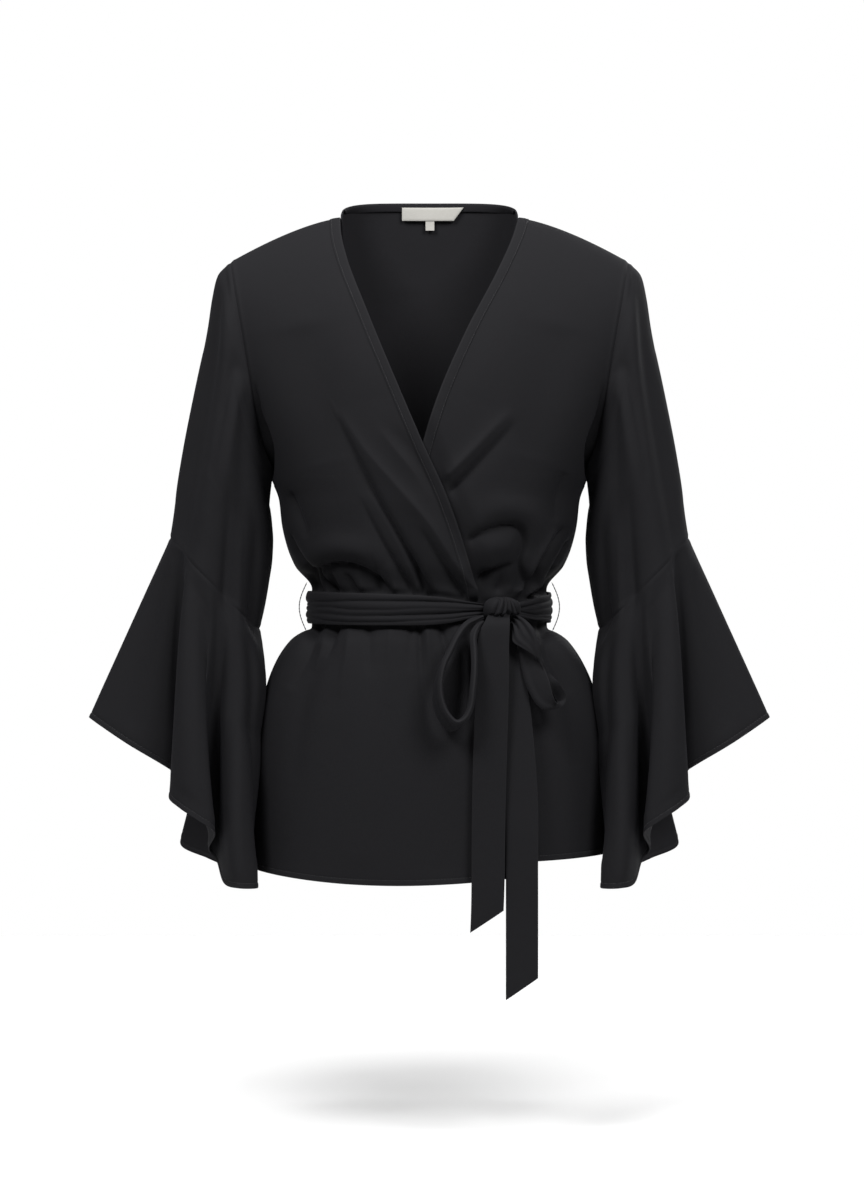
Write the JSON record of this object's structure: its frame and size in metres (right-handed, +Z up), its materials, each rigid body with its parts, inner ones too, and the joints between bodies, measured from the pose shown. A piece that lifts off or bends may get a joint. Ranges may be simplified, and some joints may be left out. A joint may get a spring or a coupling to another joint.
{
  "type": "kimono jacket",
  "caption": "Hip-length crepe jacket with a crossed V neck, set-in sleeves that end in wide fluted bells, and a narrow belt tied in a bow at the side front.",
  "frame": {"origin": "midway between the two neck points of the shoulder seams, at their height, where the wearer's shoulders carry the jacket", "axes": "+Z up; the front faces -Y; +X is to the right as the jacket is looked at, which is the wearer's left"},
  "size_m": [0.639, 0.2567, 0.748],
  "materials": {
    "crepe": "black polyester crepe with a dull, slightly cool sheen",
    "label_cloth": "cream woven ribbon, blank",
    "thread": "black thread chain"
  },
  "bodies": {
    "root": {"back": "crepe", "front_upper": "crepe", "front_under": "crepe", "edge_band_upper": "crepe", "edge_band_under": "crepe", "back_neck_band": "crepe", "sleeve_left": "crepe", "sleeve_right": "crepe", "flounce_left": "crepe", "flounce_right": "crepe", "belt_band": "crepe", "belt_knot": "crepe", "bow_loop_left": "crepe", "bow_loop_right": "crepe", "belt_tail_left": "crepe", "belt_tail_right": "crepe", "neck_label": "label_cloth", "size_tab": "label_cloth", "thread_loop_left": "thread", "thread_loop_right": "thread"}
  },
  "joints": []
}
